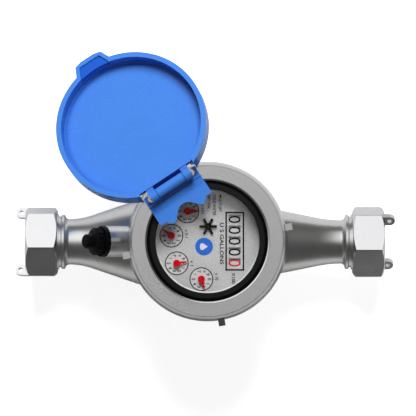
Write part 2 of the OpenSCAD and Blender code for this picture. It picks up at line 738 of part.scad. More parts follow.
// The lid as it lies closed, in the hinge's frame, with its centre on the given point of the Y axis
module closed_lid() {
    centre = hinge_reach - lid_offset;
    outer = lid_d / 2;
    inner = outer - lid_wall;
    rim = part_gap;
    under = rim + lid_h - lid_top_t;
    top = rim + lid_h;
    edge = hinge_reach - lid_cut;
    arc = [for (a = [0 : 15 : 90]) [outer - lid_round + lid_round * cos(a), top - lid_round + lid_round * sin(a)]];
    knuckle_x = barrel_l / 2 + part_gap;
    difference() {
        union() {
            translate([0, centre, 0]) rotate_extrude() polygon(concat(
                [[0, under], [inner - 1, under], [inner, under - 1], [inner, rim], [outer, rim]], arc, [[0, top]]));
            translate([0, centre - outer, rim]) linear_extrude(tab_h) difference() {
                polygon([[-tab_half - 3, 2], [-tab_half, -tab_out * 0.8], [-tab_half * 0.5, -tab_out],
                         [tab_half * 0.5, -tab_out], [tab_half, -tab_out * 0.8], [tab_half + 3, 2]]);
                translate([0, outer]) circle(r = outer - lid_wall / 2);
            }
        }
        translate([-hinge_w / 2 - 0.5, edge, -1]) cube([hinge_w + 1, lid_d, lid_h + 4]);
        translate([0, centre - outer, rim - eps]) linear_extrude(tab_recess) intersection() {
            polygon([[-tab_half - 1, 5], [-tab_half - 0.5, 2.4], [-tab_half + 2, 2.6 - tab_out],
                     [tab_half - 2, 2.6 - tab_out], [tab_half + 0.5, 2.4], [tab_half + 1, 5]]);
            translate([-lid_d, -lid_d]) square([2 * lid_d, lid_d + 4.2]);
        }
    }
    translate([-knuckle_x - eps, edge - 1, under])
        cube([2 * knuckle_x + 2 * eps, lid_cut - web_reach + 1, web_t]);
    for (side = [-1, 1]) translate([side > 0 ? knuckle_x : -knuckle_x - knuckle_l, 0, 0]) difference() {
        union() {
            translate([0, hinge_reach, hinge_lift]) along_x() cylinder(r = knuckle_r, h = knuckle_l);
            translate([0, edge - 1, under]) cube([knuckle_l, lid_cut + 1, hinge_lift + knuckle_r - under]);
        }
        translate([-1, hinge_reach, hinge_lift]) along_x()
            cylinder(d = pin_d + 2 * fit_gap, h = knuckle_l + 2);
    }
}

module lid() {
    color(blue) at_hinge() translate([0, hinge_reach, hinge_lift]) rotate([-lid_angle, 0, 0])
        translate([0, -hinge_reach, -hinge_lift]) closed_lid();
}

module regulating_screw() {
    color([0.7, 0.7, 0.72]) on_boss() translate([0, 0, -boss_mouth_l - screw_l]) difference() {
        cylinder(d = screw_d, h = screw_l);
        translate([-screw_d, -0.6, screw_l - 1.5]) cube([2 * screw_d, 1.2, 3]);
    }
}

module regulator_cap() {
    stem_r = boss_mouth_d / 2 - thread_gap;
    flange_r = boss_d / 2;
    grip_r = flange_r - cap_step;
    nose_z = cap_l - cap_nose_l;
    color(black) on_boss() rotate_extrude() polygon([
        [0, -boss_mouth_l + part_gap], [stem_r, -boss_mouth_l + part_gap], [stem_r, 0], [flange_r, 0],
        [flange_r, cap_flange_t], [flange_r - 0.5, cap_flange_t + 0.5], [grip_r, cap_flange_t + 0.5],
        [grip_r, cap_grip_z], [grip_r - 0.8, cap_grip_z + 0.8], [cap_nose_r + 1, nose_z - 0.6],
        [cap_nose_r, nose_z], [cap_nose_r - 0.2, cap_l - 1], [cap_nose_r - 1.2, cap_l], [0, cap_l]]);
}

// A seal ear on the nut's end face, at the top of the nut, with its eye across the axis
module seal_ear() {
    translate([nut_l + ear_out, -ear_t / 2, ear_r]) rotate([-90, 0, 0]) cylinder(r = ear_round, h = ear_t);
    translate([nut_l - 2, -ear_t / 2, ear_r - ear_round]) cube([ear_out + 2, ear_t, 2 * ear_round]);
}

// A union nut along +X: its thread opens at x = 0, and its lip and ears are at the far end
module union_nut(turn) {
    hole_r = nut_hole_d / 2;
    rotate([turn - 90, 0, 0]) difference() {
        union() {
            intersection() {
                along_x() cylinder(r = nut_r, h = nut_l, $fn = 6);
                along_x() rotate_extrude() polygon([
                    [0, 0], [nut_af / 2 - nut_rim, 0], [nut_r - nut_corner, nut_chamfer],
                    [nut_r - nut_corner, nut_l - nut_chamfer], [nut_af / 2 - nut_rim, nut_l], [0, nut_l]]);
            }
            for (flip = [0, 180]) rotate([flip, 0, 0]) seal_ear();
        }
        along_x() translate([0, 0, -1]) cylinder(r = spigot_r + thread_gap, h = nut_l - nut_lip_t + 1);
        along_x() cylinder(r = hole_r, h = nut_l + 1);
        for (flip = [0, 180]) rotate([flip, 0, 0]) translate([nut_l + ear_out, -ear_t, ear_r])
            rotate([-90, 0, 0]) cylinder(r = ear_eye_r, h = 2 * ear_t);
    }
}

module outlet_nut() {
    color(steel) translate([outlet_reach - nut_grip, 0, pipe_z]) union_nut(outlet_nut_turn);
}

module inlet_nut() {
    color(steel) translate([-inlet_reach + nut_grip, 0, pipe_z]) mirror([1, 0, 0]) union_nut(inlet_nut_turn);
}

// A sealing washer against the inside of a nut's lip, along +X from the nut's thread end
module nut_washer() {
    color(black) translate([nut_l - nut_lip_t - washer_t - part_gap, 0, 0]) along_x()
        tube(spigot_r - part_gap, port_d / 2 + 0.5, washer_t);
}

module outlet_washer() {
    translate([outlet_reach - nut_grip, 0, pipe_z]) nut_washer();
}

module inlet_washer() {
    translate([-inlet_reach + nut_grip, 0, pipe_z]) mirror([1, 0, 0]) nut_washer();
}

body();
inlet_strainer();
measuring_chamber();
chamber_cover();
pivot_pin();
plate_gasket();
pressure_plate();
register_case();
movement_block();
counter_axle();
dial_plate();
glass();
bezel_gasket();
head_ring();
hinge_plate();
hinge_pin();
hinge_rivets();
regulating_screw();
regulator_cap();
inlet_nut();
outlet_nut();
inlet_washer();
outlet_washer();
impeller();
drive_magnet();
follower_magnet();
follower_spindle();
flow_star();
placed_hand(0);  // hand_hundredths
placed_hand(1);  // hand_tenths
placed_hand(2);  // hand_units
placed_hand(3);  // hand_tens
for (i = [0 : wheel_count - 1])
    number_wheel(i);
lid();
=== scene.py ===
import json
import math

import bmesh
import bpy
from mathutils import Matrix, Vector


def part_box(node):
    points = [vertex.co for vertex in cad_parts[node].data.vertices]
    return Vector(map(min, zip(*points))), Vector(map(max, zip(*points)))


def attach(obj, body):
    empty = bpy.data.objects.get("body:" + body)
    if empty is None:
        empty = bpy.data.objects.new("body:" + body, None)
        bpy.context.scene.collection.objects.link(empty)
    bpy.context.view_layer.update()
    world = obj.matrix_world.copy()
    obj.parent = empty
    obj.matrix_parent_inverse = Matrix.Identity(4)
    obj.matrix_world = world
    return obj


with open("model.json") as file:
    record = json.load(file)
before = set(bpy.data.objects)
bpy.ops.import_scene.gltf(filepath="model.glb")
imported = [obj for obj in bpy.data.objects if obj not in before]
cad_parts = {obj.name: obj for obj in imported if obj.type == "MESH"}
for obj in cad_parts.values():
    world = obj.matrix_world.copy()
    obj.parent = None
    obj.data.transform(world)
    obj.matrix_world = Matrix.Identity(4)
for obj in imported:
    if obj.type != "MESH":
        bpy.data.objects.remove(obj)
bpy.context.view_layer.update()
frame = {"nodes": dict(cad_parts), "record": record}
nodes = frame["nodes"]
mm = 0.001
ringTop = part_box("head_ring")[1].z
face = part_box("dial_plate")[1].z    # upper side of the dial
print("frame loaded:", len(nodes), "nodes")


# small helpers for node trees; a colour mix has its colours at inputs 6 and 7 and gives output 2

def linkUp(tree, a, b):
    tree.links.new(a, b)


def addNode(tree, kind, x=0, y=0, **props):
    node = tree.nodes.new(kind)
    node.location = (x, y)
    for key, value in props.items():
        setattr(node, key, value)
    return node


def setInputs(node, values):
    for label, value in values.items():
        node.inputs[label].default_value = value


def newGroup(name, kind, inputs, outputs):
    group = bpy.data.node_groups.new(name, kind)
    for label, socket in inputs:
        group.interface.new_socket(label, in_out="INPUT", socket_type=socket)
    for label, socket in outputs:
        group.interface.new_socket(label, in_out="OUTPUT", socket_type=socket)
    return group, addNode(group, "NodeGroupInput", -900), addNode(group, "NodeGroupOutput", 900)


def newMaterial(name):
    mat = bpy.data.materials.new(name)
    mat.use_nodes = True
    tree = mat.node_tree
    tree.nodes.clear()
    return mat, tree, addNode(tree, "ShaderNodeOutputMaterial", 800).inputs["Surface"]


def mathNode(tree, operation, a, b=None, x=0, y=0):
    node = addNode(tree, "ShaderNodeMath", x, y, operation=operation)
    for k, value in enumerate((a, b)):
        if value is None:
            continue
        if isinstance(value, (int, float)):
            node.inputs[k].default_value = value
        else:
            linkUp(tree, value, node.inputs[k])
    return node.outputs[0]


# grain: two sizes of noise, for cast, moulded and painted surfaces
grainMix = dict(fineDetail=3, fineShare=0.6, broadDetail=2, broadShare=0.4, broadScale=0.03,
                spread=(0.32, 0.68))


def makeGrainGroup(p):
    tree, inp, out = newGroup("surfaceGrain", "ShaderNodeTree", [
        ("Vector", "NodeSocketVector"), ("Scale", "NodeSocketFloat"), ("Dark", "NodeSocketColor"),
        ("Light", "NodeSocketColor"), ("Rough Low", "NodeSocketFloat"), ("Rough High", "NodeSocketFloat")],
        [("Color", "NodeSocketColor"), ("Roughness", "NodeSocketFloat"), ("Height", "NodeSocketFloat")])
    fine = addNode(tree, "ShaderNodeTexNoise", -600, 150)
    setInputs(fine, {"Detail": p["fineDetail"]})
    broad = addNode(tree, "ShaderNodeTexNoise", -600, -150)
    setInputs(broad, {"Detail": p["broadDetail"]})
    broadScale = mathNode(tree, "MULTIPLY", inp.outputs["Scale"], p["broadScale"], -750, -150)
    linkUp(tree, inp.outputs["Vector"], fine.inputs["Vector"])
    linkUp(tree, inp.outputs["Vector"], broad.inputs["Vector"])
    linkUp(tree, inp.outputs["Scale"], fine.inputs["Scale"])
    linkUp(tree, broadScale, broad.inputs["Scale"])
    both = mathNode(tree, "ADD", mathNode(tree, "MULTIPLY", fine.outputs["Fac"], p["fineShare"], -400, 150),
                    mathNode(tree, "MULTIPLY", broad.outputs["Fac"], p["broadShare"], -400, -150), -250, 0)
    spread = addNode(tree, "ShaderNodeMapRange", -100, 0)
    setInputs(spread, {"From Min": p["spread"][0], "From Max": p["spread"][1]})
    linkUp(tree, both, spread.inputs["Value"])
    mix = addNode(tree, "ShaderNodeMix", 200, 150, data_type="RGBA")
    linkUp(tree, spread.outputs["Result"], mix.inputs["Factor"])
    linkUp(tree, inp.outputs["Dark"], mix.inputs[6])
    linkUp(tree, inp.outputs["Light"], mix.inputs[7])
    rough = addNode(tree, "ShaderNodeMapRange", 200, -150)
    linkUp(tree, spread.outputs["Result"], rough.inputs["Value"])
    linkUp(tree, inp.outputs["Rough Low"], rough.inputs["To Min"])
    linkUp(tree, inp.outputs["Rough High"], rough.inputs["To Max"])
    linkUp(tree, mix.outputs[2], out.inputs["Color"])
    linkUp(tree, rough.outputs["Result"], out.inputs["Roughness"])
    linkUp(tree, fine.outputs["Fac"], out.inputs["Height"])
    return tree


# turned: fine rings about the local Z axis, as a lathe leaves them
def makeTurnedGroup(detail):
    tree, inp, out = newGroup("turnedLines", "ShaderNodeTree", [
        ("Vector", "NodeSocketVector"), ("Scale", "NodeSocketFloat")], [("Lines", "NodeSocketFloat")])
    split = addNode(tree, "ShaderNodeSeparateXYZ", -700)
    linkUp(tree, inp.outputs["Vector"], split.inputs[0])
    xx = mathNode(tree, "MULTIPLY", split.outputs["X"], split.outputs["X"], -500, 120)
    yy = mathNode(tree, "MULTIPLY", split.outputs["Y"], split.outputs["Y"], -500, -60)
    radius = mathNode(tree, "SQRT", mathNode(tree, "ADD", xx, yy, -350), None, -200)
    along = mathNode(tree, "ADD", radius, split.outputs["Z"], -100)
    noise = addNode(tree, "ShaderNodeTexNoise", 100, noise_dimensions="1D")
    setInputs(noise, {"Detail": detail})
    linkUp(tree, along, noise.inputs["W"])
    linkUp(tree, inp.outputs["Scale"], noise.inputs["Scale"])
    linkUp(tree, noise.outputs["Fac"], out.inputs["Lines"])
    return tree


grainGroup = makeGrainGroup(grainMix)
turnedGroup = makeTurnedGroup(detail=2)
bumpDepth = 0.3 * mm


# one recipe for every finish: grain colours, roughness and bump, with lathe lines where the real one
# is turned, a centre and a turn for them, and painted shade where it is moulded: a deeper colour in corners
# and creases, from an ambient-occlusion node
def finish(name, dark, light, rough, grain=900.0, bump=0.05, metallic=0.0, turned=None, centre=None,
           specular=0.5, paintedCornerShade=None):
    mat, tree, surface = newMaterial(name)
    bsdf = addNode(tree, "ShaderNodeBsdfPrincipled", 500)
    linkUp(tree, bsdf.outputs[0], surface)
    vector = addNode(tree, "ShaderNodeTexCoord", -700).outputs["Object"]
    if centre:
        move = addNode(tree, "ShaderNodeMapping", -550)
        setInputs(move, {"Location": [-c for c in centre[0]]})
        linkUp(tree, vector, move.inputs["Vector"])
        turn = addNode(tree, "ShaderNodeMapping", -400)
        setInputs(turn, {"Rotation": centre[1]})
        linkUp(tree, move.outputs[0], turn.inputs["Vector"])
        vector = turn.outputs[0]
    grainNode = addNode(tree, "ShaderNodeGroup", -200, 100, node_tree=grainGroup)
    setInputs(grainNode, {"Scale": grain, "Dark": (*dark, 1), "Light": (*light, 1), "Rough Low": rough[0],
                          "Rough High": rough[1]})
    linkUp(tree, vector, grainNode.inputs["Vector"])
    color, height = grainNode.outputs["Color"], grainNode.outputs["Height"]
    if turned:
        lines = addNode(tree, "ShaderNodeGroup", -200, -250, node_tree=turnedGroup)
        setInputs(lines, {"Scale": turned[0]})
        linkUp(tree, vector, lines.inputs["Vector"])
        shade = addNode(tree, "ShaderNodeMix", 100, 200, data_type="RGBA", blend_type="OVERLAY")
        setInputs(shade, {0: turned[1]})
        linkUp(tree, color, shade.inputs[6])
        linkUp(tree, lines.outputs["Lines"], shade.inputs[7])
        color = shade.outputs[2]
        height = mathNode(tree, "ADD", height, lines.outputs["Lines"], 50, -150)
    # painted shade: the colour deepens where the ambient-occlusion node finds corners and creases
    if paintedCornerShade:
        corner = addNode(tree, "ShaderNodeAmbientOcclusion", -200, 450, samples=paintedCornerShade["samples"])
        setInputs(corner, {"Distance": paintedCornerShade["reach"] * mm})
        depth = addNode(tree, "ShaderNodeMapRange", 0, 450)
        setInputs(depth, {"From Min": paintedCornerShade["full"], "From Max": paintedCornerShade["none"]})
        linkUp(tree, corner.outputs["AO"], depth.inputs["Value"])
        shadeCorners = addNode(tree, "ShaderNodeMix", 250, 400, data_type="RGBA")
        setInputs(shadeCorners, {6: (*paintedCornerShade["color"], 1)})
        linkUp(tree, depth.outputs["Result"], shadeCorners.inputs["Factor"])
        linkUp(tree, color, shadeCorners.inputs[7])
        color = shadeCorners.outputs[2]
    linkUp(tree, color, bsdf.inputs["Base Color"])
    linkUp(tree, grainNode.outputs["Roughness"], bsdf.inputs["Roughness"])
    setInputs(bsdf, {"Metallic": metallic, "Specular IOR Level": specular})
    bumpNode = addNode(tree, "ShaderNodeBump", 250, -250)
    setInputs(bumpNode, {"Strength": bump, "Distance": bumpDepth})
    linkUp(tree, height, bumpNode.inputs["Height"])
    linkUp(tree, bumpNode.outputs[0], bsdf.inputs["Normal"])
    return mat


alongPipe = ((0, 0, 0.034), (0, math.radians(-90), 0))    # the pipe's axis, for what is turned about it
finishes = {
    "cast_stainless": dict(dark=(0.64, 0.64, 0.63), light=(0.72, 0.72, 0.71), rough=(0.28, 0.36),
                           grain=1700.0, bump=0.008, metallic=1.0),
    "satin_stainless": dict(dark=(0.535, 0.54, 0.535), light=(0.605, 0.61, 0.605), rough=(0.20, 0.27),
                            grain=2200.0, bump=0.03, metallic=1.0, turned=(2600.0, 0.10)),
    "polished_stainless": dict(dark=(0.62, 0.62, 0.63), light=(0.70, 0.70, 0.71), rough=(0.16, 0.23),
                               grain=1800.0, bump=0.006, metallic=1.0, turned=(1800.0, 0.08),
                               centre=alongPipe),
    "mesh_stainless": dict(dark=(0.6, 0.6, 0.6), light=(0.75, 0.75, 0.75), rough=(0.25, 0.35), metallic=1.0),
    "pressed_steel": dict(dark=(0.55, 0.55, 0.54), light=(0.68, 0.68, 0.67), rough=(0.28, 0.4),
                          metallic=1.0),
    "pin_steel": dict(dark=(0.50, 0.48, 0.44), light=(0.60, 0.575, 0.53), rough=(0.22, 0.30), grain=2500.0,
                      bump=0.02, metallic=1.0),
    "chamber_plastic": dict(dark=(0.72, 0.71, 0.66), light=(0.8, 0.79, 0.74), rough=(0.45, 0.55)),
    "impeller_plastic": dict(dark=(0.78, 0.78, 0.75), light=(0.86, 0.86, 0.84), rough=(0.42, 0.52)),
    "movement_plastic": dict(dark=(0.7, 0.7, 0.68), light=(0.78, 0.78, 0.76), rough=(0.45, 0.55)),
    "copper_can": dict(dark=(0.52, 0.43, 0.35), light=(0.64, 0.54, 0.45), rough=(0.25, 0.36), metallic=1.0,
                       turned=(1500.0, 0.15)),
    "magnet_ferrite": dict(dark=(0.03, 0.03, 0.032), light=(0.06, 0.06, 0.062), rough=(0.55, 0.65)),
    "dial_face": dict(dark=(0.36, 0.35, 0.35), light=(0.66, 0.645, 0.645), rough=(0.38, 0.52), grain=1300.0,
                      bump=0.06, metallic=0.25),
    "black_rubber": dict(dark=(0.0015, 0.0015, 0.0017), light=(0.004, 0.004, 0.0043), rough=(0.50, 0.62),
                         grain=1600.0, turned=(900.0, 0.15), specular=0.1),
    "black_plastic": dict(dark=(0.003, 0.003, 0.0034), light=(0.007, 0.007, 0.0075), rough=(0.42, 0.54),
                          grain=1500.0, specular=0.1),
    "star_plastic": dict(dark=(0.002, 0.002, 0.002), light=(0.005, 0.005, 0.005), rough=(0.4, 0.5),
                         grain=2500.0, specular=0.1),
    "hand_red": dict(dark=(0.62, 0.001, 0.006), light=(0.74, 0.002, 0.011), rough=(0.35, 0.45), grain=3000.0,
                     bump=0.02, specular=0.1),
    "wheel_white": dict(dark=(0.56, 0.56, 0.57), light=(0.64, 0.64, 0.65), rough=(0.4, 0.5), grain=2500.0,
                        bump=0.02),
    "blue_plastic": dict(dark=(0.053, 0.228, 0.765), light=(0.063, 0.246, 0.80), rough=(0.25, 0.30),
                         grain=1700.0, bump=0.015, specular=0.3,
                         # painted shade in the blue's corners, creases and recesses
                         paintedCornerShade=dict(reach=5.5, full=0.25, none=0.9, color=(0.001, 0.010, 0.27),
                                      samples=12)),
}
made = {slot: finish(slot, **look) for slot, look in finishes.items()}


# clear flat glass that lets the light through to the dial
registerGlass = dict(tint=(0.97, 0.985, 0.985), bend=1.12, grain=400.0, rough=(0.0, 0.012))


def makeGlass(p):
    mat, tree, surface = newMaterial("register_glass")
    bsdf = addNode(tree, "ShaderNodeBsdfPrincipled", 0)
    setInputs(bsdf, {"Base Color": (*p["tint"], 1), "Transmission Weight": 1.0, "IOR": p["bend"]})
    coord = addNode(tree, "ShaderNodeTexCoord", -700)
    grainNode = addNode(tree, "ShaderNodeGroup", -300, node_tree=grainGroup)
    setInputs(grainNode, {"Scale": p["grain"], "Rough Low": p["rough"][0], "Rough High": p["rough"][1]})
    linkUp(tree, coord.outputs["Object"], grainNode.inputs["Vector"])
    linkUp(tree, grainNode.outputs["Roughness"], bsdf.inputs["Roughness"])
    clear = addNode(tree, "ShaderNodeBsdfTransparent", 0, -500)
    path = addNode(tree, "ShaderNodeLightPath", 0, 400)
    soft = mathNode(tree, "MAXIMUM", path.outputs["Is Shadow Ray"], path.outputs["Is Diffuse Ray"], 200, 300)
    mix = addNode(tree, "ShaderNodeMixShader", 400)
    linkUp(tree, soft, mix.inputs[0])
    linkUp(tree, bsdf.outputs[0], mix.inputs[1])
    linkUp(tree, clear.outputs[0], mix.inputs[2])
    linkUp(tree, mix.outputs[0], surface)
    return mat


made["register_glass"] = makeGlass(registerGlass)
for row in frame["record"]["subparts"]:
    node = nodes[row["node"]]
    node.data.materials.clear()
    node.data.materials.append(made[row["material_slot"]])


# flat and round mesh work, with sizes in millimetres

def meshObject(name, mesh, material):
    obj = bpy.data.objects.new(name, mesh)
    bpy.context.scene.collection.objects.link(obj)
    mesh.materials.clear()
    mesh.materials.append(material)
    return obj


# a finished piece: its mesh, its finish, and the body it moves with
def addPiece(name, mesh, material, body="meter"):
    obj = meshObject(name, mesh, material)
    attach(obj, body)


def finishBmesh(bm, name):
    bmesh.ops.recalc_face_normals(bm, faces=bm.faces)
    mesh = bpy.data.meshes.new(name)
    bm.to_mesh(mesh)
    bm.free()
    return mesh


def addMesh(bm, mesh, matrix):
    mesh.transform(matrix)
    bm.from_mesh(mesh)
    bpy.data.meshes.remove(mesh)


# a lettered mesh of the height wanted (and the width, if given), centred on its own box
def letterMesh(text, height, width, thick, bold):
    curve = bpy.data.curves.new("letters", "FONT")
    curve.body = text
    curve.size = 1.0
    curve.extrude = 0.5
    curve.offset = bold
    obj = bpy.data.objects.new("letters", curve)
    bpy.context.scene.collection.objects.link(obj)
    bpy.context.view_layer.update()
    mesh = bpy.data.meshes.new_from_object(obj.evaluated_get(bpy.context.evaluated_depsgraph_get()))
    bpy.data.objects.remove(obj)
    bpy.data.curves.remove(curve)
    xs = [v.co.x for v in mesh.vertices]
    ys = [v.co.y for v in mesh.vertices]
    mid = Vector(((min(xs) + max(xs)) / 2, (min(ys) + max(ys)) / 2, 0))
    tall = height * mm / (max(ys) - min(ys))
    wide = width * mm / (max(xs) - min(xs)) if width else tall
    mesh.transform(Matrix.Diagonal((wide, tall, thick * mm, 1)) @ Matrix.Translation(-mid))
    return mesh


def evenTurns(count):
    return [2 * math.pi * k / count for k in range(count)]


# a closed solid between two copies of an outline
def addPrism(bm, start, end):
    rims = [[bm.verts.new(point) for point in outline] for outline in (start, end)]
    for k in range(len(start)):
        n = (k + 1) % len(start)
        bm.faces.new((rims[0][k], rims[0][n], rims[1][n], rims[1][k]))
    for rim in rims:
        bm.faces.new(rim)


# an outline in X and Y drawn up from one height to another
def addSlab(bm, outline, low, high):
    addPrism(bm, *[[Vector((x, y, z)) * mm for x, y in outline] for z in (low, high)])


def addDisc(bm, centre, radius, low, high, sides):
    addSlab(bm, [(centre[0] + radius * math.cos(t), centre[1] + radius * math.sin(t))
                 for t in evenTurns(sides)], low, high)


# a section of radius and height turned round an upright axis
def addRing(bm, section, sides, centre=(0, 0)):
    rows = [[bm.verts.new(Vector((centre[0] + r * math.cos(t), centre[1] + r * math.sin(t), z)) * mm)
             for r, z in section] for t in evenTurns(sides)]
    for one, two in zip(rows, rows[1:] + rows[:1]):
        for k in range(len(section)):
            n = (k + 1) % len(section)
            bm.faces.new((one[k], one[n], two[n], two[k]))


# printing on the dial: all words have their tops towards the outlet
dialPrint = dict(ink=0.04, sunk=0.01, ground=0.02, groundGap=0.2, bold=0.024, sides=64, digits=10,
                 subRadius=7.05, line=0.6, numberRadius=4.75, numberHeight=2.0,
                 hands=[(-11.9, 17.7), (-21.4, 3.3), (-18.2, -13.1), (-3.6, -22.5)],
                 words=[("U S GALLONS", 8.5, -1.4, 2.3, 24.6), ("X100", 15.4, -21.9, 2.1, 6.7),
                        ("x 10", 5.5, -21.0, 1.7, 4.4), ("x 1", -9.2, -13.0, 1.7, 3.2),
                        ("x 0.1", -12.4, 4.6, 1.6, 5.0), ("x 0.01", -2.8, 19.2, 1.6, 5.6),
                        ("MULTI-JET", 7.4, 22.4, 1.9, 10.4), ("COLD WATER", 4.1, 21.4, 1.9, 12.6),
                        ("DRY DIAL", 0.9, 23.2, 1.6, 8.4)],
                 frameLow=(10.6, -17.5), frameHigh=(21.8, 17.5), frameLine=0.95)
inkMat = finish("dialInk", (0.003, 0.003, 0.0035), (0.008, 0.008, 0.0085), (0.4, 0.5), grain=3000.0,
                bump=0.02, specular=0.1)
groundMat = finish("dialGround", (0.62, 0.60, 0.605), (0.72, 0.70, 0.705), (0.4, 0.5), grain=3400.0,
                   bump=0.03)


def onDial(x, y, lift):
    place = Matrix.Translation((x * mm, y * mm, face + lift * mm))
    return place @ Matrix.Rotation(math.radians(-90), 4, "Z")


def makeDialPrint(p):
    black = bmesh.new()
    pale = bmesh.new()
    ink, r = p["ink"], p["subRadius"]
    low, high = face / mm - p["sunk"], face / mm + ink
    for x, y in p["hands"]:
        addDisc(pale, (x, y), r - p["groundGap"], low, face / mm + p["ground"], p["sides"])
        inner = r - p["line"]
        addRing(black, [(r, low), (r, high), (inner, high), (inner, low)], p["sides"], (x, y))
        for k, t in enumerate(evenTurns(p["digits"])):
            addMesh(black, letterMesh(str(k), p["numberHeight"], None, ink, p["bold"]),
                    onDial(x + p["numberRadius"] * math.cos(t), y - p["numberRadius"] * math.sin(t), ink))
    for text, x, y, height, width in p["words"]:
        addMesh(black, letterMesh(text, height, width, ink, p["bold"]), onDial(x, y, ink / 2))
    (x0, y0), (x1, y1), w = p["frameLow"], p["frameHigh"], p["frameLine"]
    for (a, b), (c, d) in (((x0, y0), (x1, y0 + w)), ((x0, y1 - w), (x1, y1)),
                           ((x0, y0 + w), (x0 + w, y1 - w)), ((x1 - w, y0 + w), (x1, y1 - w))):
        addSlab(black, [(a, b), (c, b), (c, d), (a, d)], low, high)
    addPiece("dial_print", finishBmesh(black, "dial_print"), inkMat)
    addPiece("subdial_grounds", finishBmesh(pale, "subdial_grounds"), groundMat)


makeDialPrint(dialPrint)
print("dial printed")


# a node tree that sets copies of one shape on a circle; shape adds the nodes that make it
def makeRingTree(name, sizes, shape):
    tree, inp, out = newGroup(name, "GeometryNodeTree", [
        ("Count", "NodeSocketInt"), ("Reach", "NodeSocketFloat"), *sizes.items(),
        ("Place", "NodeSocketVector"), ("Turn", "NodeSocketVector"), ("Finish", "NodeSocketMaterial")],
        [("Geometry", "NodeSocketGeometry")])
    ring = addNode(tree, "GeometryNodeMeshCircle", -500)
    linkUp(tree, inp.outputs["Count"], ring.inputs["Vertices"])
    linkUp(tree, inp.outputs["Reach"], ring.inputs["Radius"])
    spread = addNode(tree, "GeometryNodeInstanceOnPoints", -200)
    linkUp(tree, ring.outputs[0], spread.inputs["Points"])
    shape(tree, inp.outputs, spread.inputs)
    move = addNode(tree, "GeometryNodeTransform", 100)
    linkUp(tree, spread.outputs[0], move.inputs["Geometry"])
    linkUp(tree, inp.outputs["Place"], move.inputs["Translation"])
    linkUp(tree, inp.outputs["Turn"], move.inputs["Rotation"])
    real = addNode(tree, "GeometryNodeRealizeInstances", 300)
    linkUp(tree, move.outputs[0], real.inputs[0])
    paint = addNode(tree, "GeometryNodeSetMaterial", 500)
    linkUp(tree, real.outputs[0], paint.inputs["Geometry"])
    linkUp(tree, inp.outputs["Finish"], paint.inputs["Material"])
    linkUp(tree, paint.outputs[0], out.inputs[0])
    return tree


# runs a node tree on an empty mesh and keeps the plain result
def runTree(tree, values, name):
    host = bpy.data.objects.new("host", bpy.data.meshes.new("host"))
    bpy.context.scene.collection.objects.link(host)
    mod = host.modifiers.new("nodes", "NODES")
    mod.node_group = tree
    ids = {item.name: item.identifier for item in tree.interface.items_tree if item.in_out == "INPUT"}
    for label, value in values.items():
        mod[ids[label]] = value
    host.data.update()
    bpy.context.view_layer.update()
    mesh = bpy.data.meshes.new_from_object(host.evaluated_get(bpy.context.evaluated_depsgraph_get()))
    host.modifiers.clear()
    bpy.data.objects.remove(host)
    mesh.name = name
    return mesh


# ticks round the four small dials
tickRing = dict(count=10, reach=6.15, length=0.55, width=0.22, thick=0.05, lift=0.02)
tickSizes = dict(Length="NodeSocketFloat", Width="NodeSocketFloat", Thick="NodeSocketFloat")


def tickShape(tree, given, spread):
    size = addNode(tree, "ShaderNodeCombineXYZ", -700, -200)
    for k, label in enumerate(tickSizes):
        linkUp(tree, given[label], size.inputs[k])
    bar = addNode(tree, "GeometryNodeMeshCube", -500, -200)
    linkUp(tree, size.outputs[0], bar.inputs["Size"])
    position = addNode(tree, "GeometryNodeInputPosition", -700, -400)
    align = addNode(tree, "FunctionNodeAlignEulerToVector", -500, -400, axis="X", pivot_axis="Z")
    linkUp(tree, position.outputs[0], align.inputs["Vector"])
    linkUp(tree, bar.outputs[0], spread["Instance"])
    linkUp(tree, align.outputs[0], spread["Rotation"])


def makeTicks(p):
    tree = makeRingTree("tickRing", tickSizes, tickShape)
    ticks = bmesh.new()
    for x, y in dialPrint["hands"]:
        part = runTree(tree, {"Count": p["count"], "Reach": p["reach"] * mm, "Length": p["length"] * mm,
                              "Width": p["width"] * mm, "Thick": p["thick"] * mm,
                              "Place": (x * mm, y * mm, face + p["lift"] * mm), "Finish": inkMat}, "ticks")
        addMesh(ticks, part, Matrix.Identity(4))
    addPiece("subdial_ticks", finishBmesh(ticks, "subdial_ticks"), inkMat)


makeTicks(tickRing)
print("ticks placed")


# a blue disc with a plain white drop
dropDisc = dict(place=(-2.0, -3.2), radius=5.25, sunk=0.01, thick=0.05, sides=64, drop=2.5, wide=1.25,
                dropThick=0.09, dropSides=48)
blueMat = finish("dialBlue", (0.010, 0.115, 0.56), (0.016, 0.145, 0.66), (0.4, 0.5), grain=3000.0, bump=0.02)
whiteMat = finish("dialWhite", (0.74, 0.74, 0.75), (0.82, 0.82, 0.83), (0.4, 0.5), grain=3000.0, bump=0.02)


def makeDropDisc(p):
    x, y = p["place"]
    level = face / mm
    disc = bmesh.new()
    addDisc(disc, p["place"], p["radius"], level - p["sunk"], level + p["thick"], p["sides"])
    addPiece("drop_disc", finishBmesh(disc, "drop_disc"), blueMat)
    outline = []
    for t in evenTurns(p["dropSides"]):
        across = math.cos(t) * p["drop"] * (1 - math.sin(t)) / 2 * p["wide"]    # nothing at the tip
        outline.append((x + p["drop"] * math.sin(t), y - across))
    drop = bmesh.new()
    addSlab(drop, outline, level, level + p["dropThick"])
    addPiece("drop_mark", finishBmesh(drop, "drop_mark"), whiteMat)


makeDropDisc(dropDisc)
print("drop disc laid")


# digits round each number wheel, wrapped on its rim
wheelDigits = dict(wheels=5, digits=10, height=7.2, width=4.3, proud=0.04, lift=0.01, bold=0.002, cuts=3,
                   cutStep=0.8)
redMat = finish("digitRed", (0.60, 0.004, 0.012), (0.75, 0.007, 0.02), (0.4, 0.5), grain=3000.0, bump=0.02)


